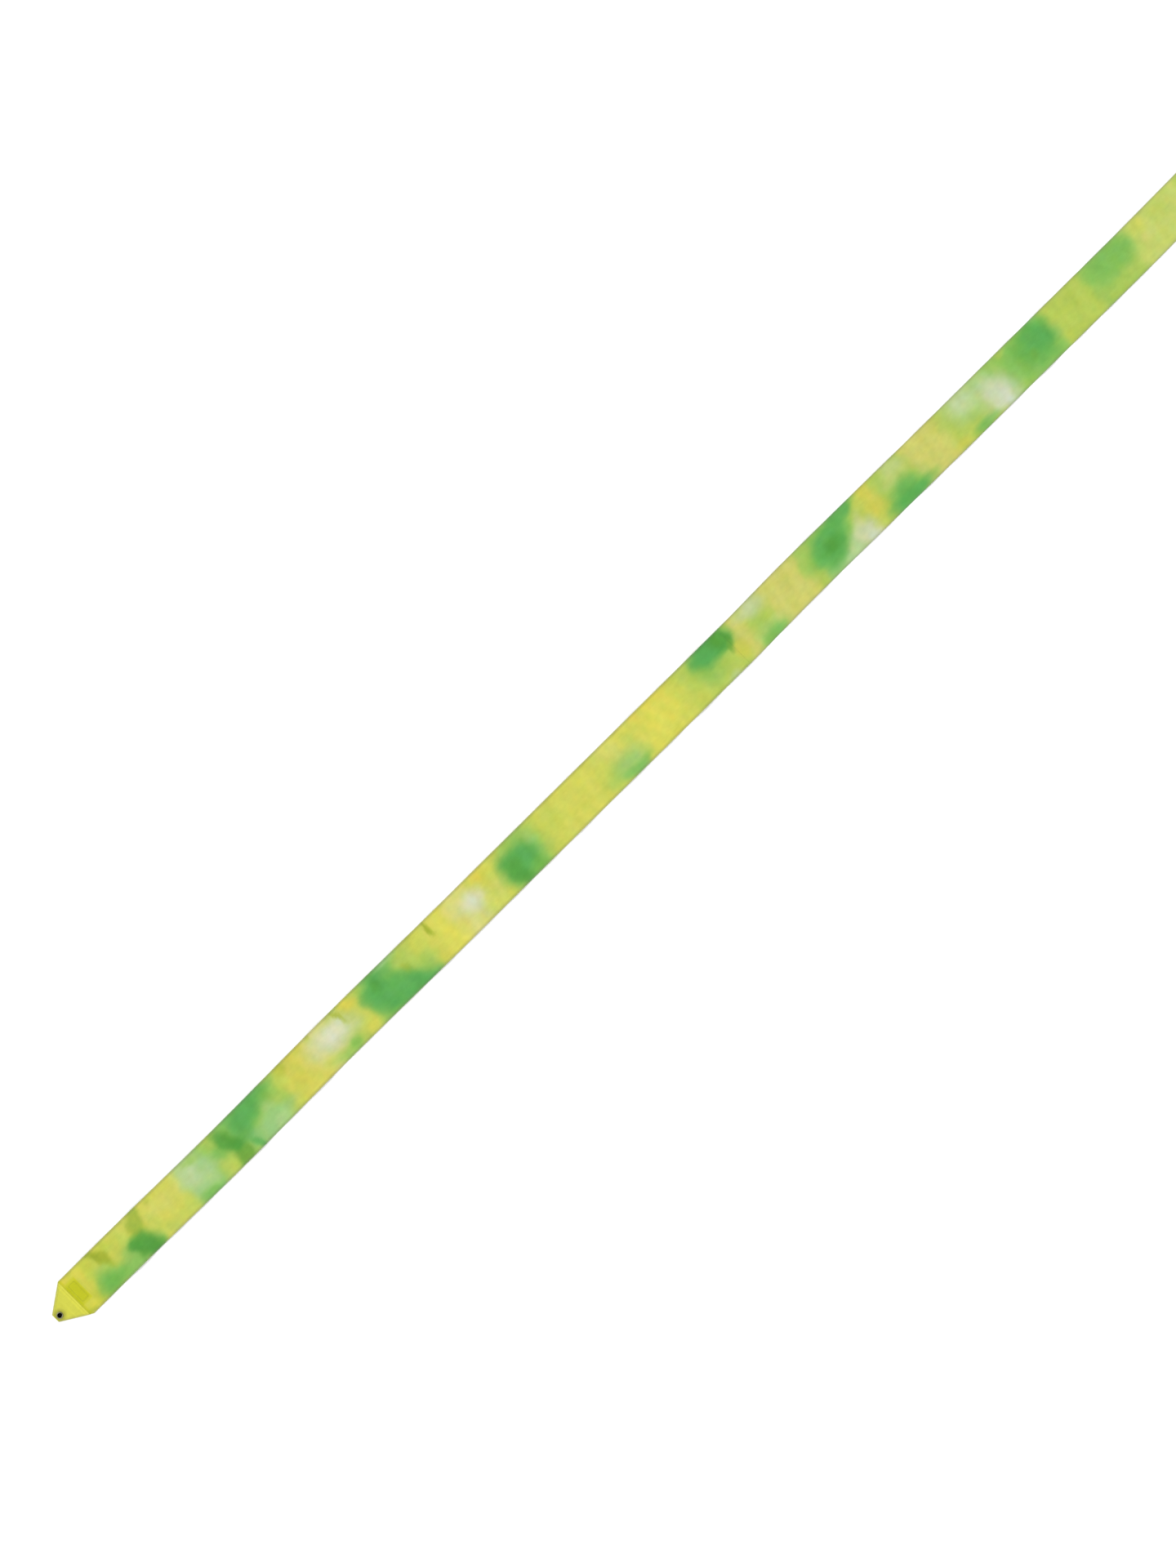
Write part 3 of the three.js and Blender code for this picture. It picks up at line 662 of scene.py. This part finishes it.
# Where the cloth's points lie across it, closer together at its edges.
RIBBON_COLUMNS = (
    -25, -24.3, -23.3, -21.5, -18.7, -15.8, -13, -10.4, -7, -3.5, 0,
    3.5, 7, 10, 13.2, 16.4, 19, 21.5, 23.3, 24.3, 25,
)
SHARES = np.array(RIBBON_COLUMNS) / HALF


def laid_rows(end):
    """Places along the laid cloth up to end, closer together by the tab."""
    return np.concatenate([np.arange(CLOTH_START, FINE_END, FINE_STEP), np.arange(FINE_END, end, LAID_STEP)])


def laid_grid(rows, shares, inset=0.0):
    """Places on the flat cloth: the shares stretch to the tab's narrowing sides."""
    along = np.repeat(np.asarray(rows, float)[:, None], len(shares), 1)
    left = left_side(along) - inset * (left_side(along) < HALF)
    right = -right_side(along) - inset * (right_side(along) > -HALF)
    return along, shares * np.where(shares > 0, left, right)


def darker_edge(colour, along, across):
    """The colour with a darker, greyer band along both edges: partly the denser selvedge's own colour,
    partly painted shade along the cloth's edges.
    """
    gap = np.minimum(left_side(along) - across, across - right_side(along))
    share = EDGE_DEPTH * (1 - ramp(gap, EDGE_BAND * 0.3, EDGE_BAND * 1.4))
    greyed = 0.68 * colour + 0.32 * np.array(EDGE_GREY)
    return colour + (greyed - colour) * share[..., None]


def ribbon_colour(along, across):
    """The dye, with the webbing showing through by the tab, a painted shadow just past the tab's base, and
    plain tab colour under it.
    """
    colour = darker_edge(paint(along, across), along, across)
    tongue = 0.95 * ramp(inside_webbing(along, across), -1.4, 0.6) * ramp(along, TAB_END, TAB_END + 1)
    # Painted shadow: a band in the tongue's colour just past the tab's base, where the tab's edge shades the
    # ribbon.
    shoulder = 0.45 * (1 - ramp(along, TAB_END + 1, TAB_END + 4))
    colour = colour + (np.array(TONGUE_AND_SHADOW_COLOUR) - colour) * np.maximum(tongue, shoulder)[..., None]
    hidden = (along < TAB_END)[..., None]
    return np.where(hidden, np.array(TAB_COLOUR) + 0 * colour, colour)


def eyelet_reach(along, across):
    """How far a place is from the eyelet's axis."""
    return np.hypot(along - EYELET_ALONG, across - EYELET_ACROSS)


def tab_colour(along, across):
    """The tab's colour: a little darker by the eyelet, painted shade where the cloth is drawn in, and
    brighter along its base, a painted highlight.
    """
    colour = np.array(TAB_COLOUR) * np.ones(along.shape + (1,))
    # Painted highlight: a brighter band along the tab's base, by the fold.
    fold = ramp(along, TAB_END - 5.4, TAB_END - 4.2)
    colour = colour + (np.array(FOLD_HIGHLIGHT) - colour) * fold[..., None]
    reach = eyelet_reach(along, across)
    # Painted shade: up to about a quarter darker near the eyelet, fading out 9 mm from its axis.
    colour = colour * (1 - 0.24 * (1 - ramp(reach, 2.6, 9)))[..., None]
    return darker_edge(colour, along, across)


def leader_colour(along, across):
    """The same dye, from another place of the cloth."""
    return darker_edge(paint(along + LEADER_SHIFT, across), along, across)


COLOUR_OF = {"ribbon": ribbon_colour, "leader": leader_colour, "front": tab_colour, "back": tab_colour}


def rolled_grid():
    """Places and points of the rolled cloth, with its far end turned back as the hem."""
    outer, pitch = roll_shape()
    end_angle = 2 * math.pi * ROLL_TURNS
    angle = np.linspace(0, end_angle, round(TURN_STEPS * ROLL_TURNS))[1:, None]
    radius = outer - pitch * angle / (2 * math.pi)
    rolled = outer * angle - pitch * angle ** 2 / (4 * math.pi)
    core = float(radius[-1, 0])
    end = rolled[-1]
    fold = np.linspace(0, math.pi, 6)[1:, None]
    past_fold = 0.5
    back = np.arange(HEM_STEP, HEM / core, HEM_STEP)[:, None]
    angle = np.concatenate([angle, end_angle + HEM_FOLD / 2 / core * np.sin(fold), end_angle - back])
    radius = np.concatenate([radius, core - HEM_FOLD / 2 * (1 - np.cos(fold)), core - HEM_FOLD + 0 * back])
    rolled = np.concatenate([rolled, end + HEM_FOLD / 2 * fold, end + past_fold + back * core])
    across = np.broadcast_to(SHARES * HALF, (len(angle), len(SHARES)))
    settled = ramp(angle, 1, 6) * (1 - ramp(angle, end_angle - 3, end_angle - 1))
    loose = 0.06 * settled * waves(angle * 9 + 0 * across, across, 40, 31)
    along = np.broadcast_to(ROLL_CENTRE + rolled, across.shape)
    return along, across, roll_point(angle, radius + loose, across)


def make_ribbon(material):
    """The whole ribbon: the laid stretch and the roll are one uncut cloth."""
    laid_along, laid_across = laid_grid(laid_rows(ROLL_CENTRE), SHARES, CLOTH_INSET)
    height = stack(laid_along, laid_across)["ribbon"]
    laid = np.stack([laid_along, sideways(laid_along, laid_across), height], -1)
    roll_along, roll_across, rolled = rolled_grid()
    along = np.concatenate([laid_along, roll_along])
    across = np.concatenate([laid_across, roll_across])
    middle = np.concatenate([laid, rolled])
    thick = SATIN * (1 + 0.6 * (np.abs(across) > HALF * 0.95))
    piece = cloth("satin_ribbon", along, across, middle, thick, ribbon_colour(along, across), material,
                  ("ribbon_laid", "ribbon_roll"))


def make_leader(material):
    """The second layer, under the ribbon from the tab to the leader's end."""
    along, across = laid_grid(np.append(laid_rows(LEADER_END), LEADER_END), SHARES, CLOTH_INSET)
    middle = np.stack([along, sideways(along, across), stack(along, across)["leader"]], -1)
    piece = cloth("leader_cloth", along, across, middle, SATIN, leader_colour(along, across), material,
                  ("leader_layer",))


# ---- The tab and its stiffener ------------------------------------------------------------------

def outside_hole(along, across):
    """The squares of a grid that lie wholly outside the eyelet's hole."""
    kept = eyelet_reach(along, across) >= HOLE_RADIUS
    return kept[:-1, :-1] & kept[1:, :-1] & kept[1:, 1:] & kept[:-1, 1:]


def make_tab(name, layer, nodes, material):
    """One cloth of the tab. The points nearest to its hole are drawn to the hole's rim, to round it."""
    rows = np.linspace(0, TAB_END, 59)
    edge = np.array((0.92, 0.96, 1.0))
    shares = np.concatenate([-edge[::-1], np.linspace(-0.88, 0.88, 71), edge])
    along, across = laid_grid(rows, shares)
    keep = outside_hole(along, across)
    rim = 0.55
    reach = eyelet_reach(along, across)
    near_rim = (reach >= HOLE_RADIUS) & (reach < HOLE_RADIUS + rim)
    scale = np.where(near_rim, HOLE_RADIUS / reach, 1)
    along = EYELET_ALONG + (along - EYELET_ALONG) * scale
    across = EYELET_ACROSS + (across - EYELET_ACROSS) * scale
    height = stack(along, across)[layer]
    middle = np.stack([along, across, height], -1)
    piece = cloth(name, along, across, middle, TAB_CLOTH, tab_colour(along, across), material, nodes,
                  keep)


def make_stiffener(material):
    """The webbing inside the tab, whose far end shows past the tab as a round-cornered tongue."""
    rows = np.linspace(WEB_START, WEB_END, 83)
    shares = np.linspace(-1, 1, 41)
    along = np.repeat(rows[:, None], len(shares), 1)
    past = np.clip(along - (WEB_END - WEB_CORNER), 0, WEB_CORNER)
    rounding = WEB_CORNER - np.sqrt(WEB_CORNER ** 2 - past ** 2)
    left, right = webbing_sides(along)
    left = left - rounding
    right = right + rounding
    across = right + (left - right) * (shares + 1) / 2
    keep = outside_hole(along, across)
    middle = np.stack([along, across, stack(along, across)["web"]], -1)
    colour = np.array(WEBBING_COLOUR) * np.ones(along.shape + (1,))
    piece = cloth("stiffener", along, across, middle, WEBBING, colour, material, ("tip_stiffener",),
                  keep)


# ---- The eyelet ---------------------------------------------------------------------------------

def lathe(name, profile, material, nodes):
    """A closed ring turned round the eyelet's axis from a closed outline of (radius, height) points."""
    steps = 72
    turn = np.arange(steps) * 2 * math.pi / steps
    outline = np.array(profile)
    x = EYELET_ALONG + np.outer(np.cos(turn), outline[:, 0])
    y = EYELET_ACROSS + np.outer(np.sin(turn), outline[:, 0])
    z = np.broadcast_to(outline[:, 1], x.shape)
    points = np.stack([x, y, z], -1).reshape(-1, 3)
    count = len(outline)
    faces = []
    for i in range(steps):
        for j in range(count):
            k = (j + 1) % count
            n = (i + 1) % steps
            faces.append([i * count + j, i * count + k, n * count + k, n * count + j])
    new_piece(name, points, faces, material, nodes, 40)


def arc(centre, radius, start, end, count=8):
    """Points on an arc of a section, its angles in degrees from outward, turning up."""
    angles = np.radians(np.linspace(start, end, count))
    return [(centre[0] + radius * math.cos(t), centre[1] + radius * math.sin(t)) for t in angles]


def make_eyelet(material):
    """The eyelet, from the lip of its bore over the flange and down to its rolled foot, and its washer."""
    bore = 2.5
    wall = 0.3
    lip = 0.45
    flange_edge = 3.3            # where the flange's rolled rim is centred, and that rim's radius
    flange_roll = 0.28
    neck_top = 0.62              # below the top
    neck_foot = 0.34
    foot_edge = 3.45             # the foot's rolled rim
    foot_roll = 0.12
    top = EYELET_TOP
    outer_wall = bore + wall
    profile = arc((bore + lip, top - lip), lip, 180, 90, 7)
    profile += arc((flange_edge, top - flange_roll), flange_roll, 90, -90, 9)
    profile += [(outer_wall + 0.15, top - 0.44), (outer_wall, top - neck_top)]
    profile += [(outer_wall, neck_foot), (outer_wall + 0.1, 0.25)]
    profile += arc((foot_edge, foot_roll + 0.01), foot_roll, 90, -90, 7)
    profile += [(bore + 0.25, 0.01), (bore, 0.2)]
    lathe("eyelet", profile, material, ("eyelet_barrel",))
    washer_height = 0.42
    washer_roll = 0.13
    washer_profile = arc((3.85, washer_height), washer_roll, 90, -90, 7)
    washer_profile += arc((3.25, washer_height), washer_roll, 270, 90, 7)
    lathe("eyelet_back_washer", washer_profile, material, ("eyelet_washer",))


# ---- Seams --------------------------------------------------------------------------------------

def stitch_places(corners):
    """Points and heights of stitches along straight runs between corners; heights are in half threads."""
    stops = [corners[0]]
    for start, end in zip(corners, corners[1:]):
        count = max(1, round(float(np.linalg.norm(end - start)) / STITCH))
        stops += [start + (end - start) * (i + 1) / count for i in range(count)]
    flat = []
    lifts = []
    for start, end in zip(stops, stops[1:]):
        for share, lift in LOCKSTITCH:
            flat.append(start + (end - start) * share)
            lifts.append(lift)
    flat.append(stops[-1])
    lifts.append(LOCKSTITCH[0][1])
    return np.array(flat), np.array(lifts)


def seam(name, corners, upper, lower, material, node):
    """A line of lockstitches: one thread on each face, which dips into the cloth at each hole.
    upper and lower name the cloths whose outer faces the threads lie on."""
    flat, lifts = stitch_places([np.array(corner, float) for corner in corners])
    along, across = flat[:, 0], flat[:, 1]
    heights = stack(along, across)
    points = []
    faces = []
    colours = []
    for layer, way in ((upper, 1), (lower, -1)):
        height = heights[layer] + way * (THICKNESS[layer] / 2 + THREAD / 2 * lifts)
        path = np.stack([along, sideways(along, across), height], -1)
        tube_points, tube_faces = tube(path, THREAD / 2)
        faces += [[i + len(points) for i in face] for face in tube_faces]
        points += tube_points.tolist()
        colours.append(np.repeat(COLOUR_OF[layer](along, across), THREAD_SIDES, 0))
    piece = new_piece(name, points, faces, material, (node,), 80)
    keep_colour(piece, np.concatenate(colours))


def make_leader_seams(material):
    """The seams that hold the leader to the ribbon: both edges and the leader's end."""
    edge = HALF - EDGE_SEAM_INSET
    for name, side in (("left", 1), ("right", -1)):
        run = [(RIGHT_SHOULDER + 2, side * edge), (LEADER_END - 6, side * edge)]
        seam(f"edge_stitches_{name}", run, "ribbon", "leader", material, f"stitch_edge_{name}")
    end = LEADER_END - 3
    run = [(end, -edge), (end, edge)]
    seam("leader_end_stitches", run, "ribbon", "leader", material, "stitch_leader_end")


def make_tab_seams(material):
    """The seams of the tab: across its base, and round its two slanting sides and its tip."""
    def tab_sides(along):
        return float(left_side(np.array(along))), float(right_side(np.array(along)))

    shoulder = TAB_END - 2.5
    left, right = tab_sides(shoulder)
    run = [(shoulder, right + EDGE_SEAM_INSET), (shoulder, left - EDGE_SEAM_INSET)]
    seam("shoulder_stitches", run, "front", "back", material, "stitch_shoulder")
    tip = 1.0
    stop = shoulder - 1.4
    slant_left = TAB_SEAM_INSET * math.hypot(1, (HALF - TIP_LEFT) / LEFT_SHOULDER)
    slant_right = TAB_SEAM_INSET * math.hypot(1, (HALF + TIP_RIGHT) / RIGHT_SHOULDER)
    tip_left, tip_right = tab_sides(tip)
    stop_left, stop_right = tab_sides(stop)
    run = [(stop, stop_left - slant_left), (tip, tip_left - slant_left),
           (tip, tip_right + slant_right), (stop, stop_right + slant_right)]
    seam("tab_edge_stitches", run, "front", "back", material, "stitch_tab_edge")


def make_tongue_seam(material):
    """The box of stitches round the webbing's tongue."""
    start = TAB_END + 3.9
    end = WEB_END - TONGUE_SEAM_INSET
    left = WEB_LEFT - TONGUE_SEAM_INSET
    right = WEB_RIGHT + TONGUE_SEAM_INSET
    run = [(start, right), (end, right), (end, left), (start, left), (start, right)]
    seam("tongue_box_stitches", run, "ribbon", "leader", material, "stitch_tongue_box")


def make_hem_seam(material):
    """The far hem's stitches, on the face of the hem that looks into the roll's core."""
    edge = HALF - EDGE_SEAM_INSET
    outer, pitch = roll_shape()
    angle = 2 * math.pi * ROLL_TURNS - HEM_SEAM_ANGLE
    radius = outer - pitch * ROLL_TURNS - HEM_FOLD - SATIN / 2
    across = []
    lifts = []
    for i in range(round(2 * edge / STITCH)):
        for share, lift in HEM_STITCH:
            across.append(-edge + (i + share) * STITCH)
            lifts.append(lift)
    radii = radius - THREAD / 2 * np.array(lifts)
    path = roll_point(np.full(len(across), angle), radii, np.array(across))
    points, faces = tube(path, THREAD / 2)
    piece = new_piece("far_hem_stitches", points, faces, material, ("stitch_far_hem",), 80)
    along = np.full(len(across), RIBBON_LENGTH - HEM / 2)
    keep_colour(piece, np.repeat(paint(along, np.array(across)), THREAD_SIDES, 0))


# ---- The scene round it --------------------------------------------------------------------------

FLOOR_WHITE = 0.93
WORLD_STRENGTH = 0.6
KEY_STRENGTH = 1.9
FILL_STRENGTH = 0.95
CAMERA_PLACE = (-0.0901, 0.0042, 3.868)      # metres; it looks straight down
CAMERA_TURN = -44.767                        # degrees


def plain(name, colour, roughness):
    return Paint(name, Base_Color=(*colour, 1), Roughness=roughness, Specular_IOR_Level=0.0).material


def make_stage():
    """The floor, and a dark spot under the eyelet, painted shade so that its hole shows black."""
    bpy.ops.mesh.primitive_plane_add(size=40, location=(0, 0, 0))
    floor = bpy.context.object
    floor.name = "floor"
    floor.data.materials.append(plain("floor", (FLOOR_WHITE,) * 3, 0.9))
    # Painted shade: a near-black disc on the floor, seen only through the eyelet's hole.
    bpy.ops.mesh.primitive_circle_add(vertices=48, radius=0.003, fill_type="NGON")
    spot = bpy.context.object
    spot.name = "painted_shade_spot"
    spot.location = to_frame([(EYELET_ALONG, EYELET_ACROSS, 0.02)])[0]
    spot.data.materials.append(plain("painted_shade_spot", (0.004,) * 3, 0.9))


def soft_sun(name, azimuth, elevation, strength):
    """Soft, even light from that side; azimuth is counted from +X towards +Y, in degrees."""
    light = bpy.data.lights.new(name, "SUN")
    light.energy = strength
    light.angle = math.radians(50)
    lamp = bpy.data.objects.new(name, light)
    bpy.context.scene.collection.objects.link(lamp)
    turn, rise = math.radians(azimuth), math.radians(elevation)
    towards = Vector((math.cos(turn) * math.cos(rise), math.sin(turn) * math.cos(rise), math.sin(rise)))
    lamp.rotation_euler = towards.to_track_quat("Z", "Y").to_euler()


def make_light():
    """White light from all round, and two soft suns."""
    world = bpy.data.worlds.new("studio")
    bpy.context.scene.world = world
    world.use_nodes = True
    background = world.node_tree.nodes["Background"]
    background.inputs["Color"].default_value = (1, 1, 1, 1)
    background.inputs["Strength"].default_value = WORLD_STRENGTH
    soft_sun("key", 125, 45, KEY_STRENGTH)
    soft_sun("fill", 235, 50, FILL_STRENGTH)


def make_camera():
    """Straight above, turned so that the ribbon runs from the lower left to the upper right."""
    data = bpy.data.cameras.new("camera")
    data.lens = 85
    data.sensor_width = 36
    camera = bpy.data.objects.new("camera", data)
    bpy.context.scene.collection.objects.link(camera)
    camera.location = CAMERA_PLACE
    camera.rotation_euler = (0, 0, math.radians(CAMERA_TURN))
    bpy.context.scene.camera = camera
    bpy.context.scene.view_settings.view_transform = "Standard"


satin = cloth_paint("satin", 0.42, 3600, 0.000008, 0.03, 0.03, 0.06, 0.2)
leader_satin = cloth_paint("leader_satin", 0.42, 3600, 0.000008, 0.02, 0.03, 0.06, 0.2)
tab_twill = cloth_paint("tab_twill", 0.6, 2200, 0.00003, 0.03, 0.03, 0.1, 0.2)
webbing = cloth_paint("webbing", 0.75, 600, 0.00012, 0.05, 0.04, 0.1, 0.2)
nickel = metal_paint()
thread = thread_paint()

make_ribbon(satin)
make_leader(leader_satin)
make_tab("tab_back", "back", ("tip_tab_back",), tab_twill)
make_stiffener(webbing)
make_tab("tab_front", "front", ("tip_tab_front",), tab_twill)
make_eyelet(nickel)
make_leader_seams(thread)
make_tab_seams(thread)
make_tongue_seam(thread)
make_hem_seam(thread)
make_stage()
make_light()
make_camera()
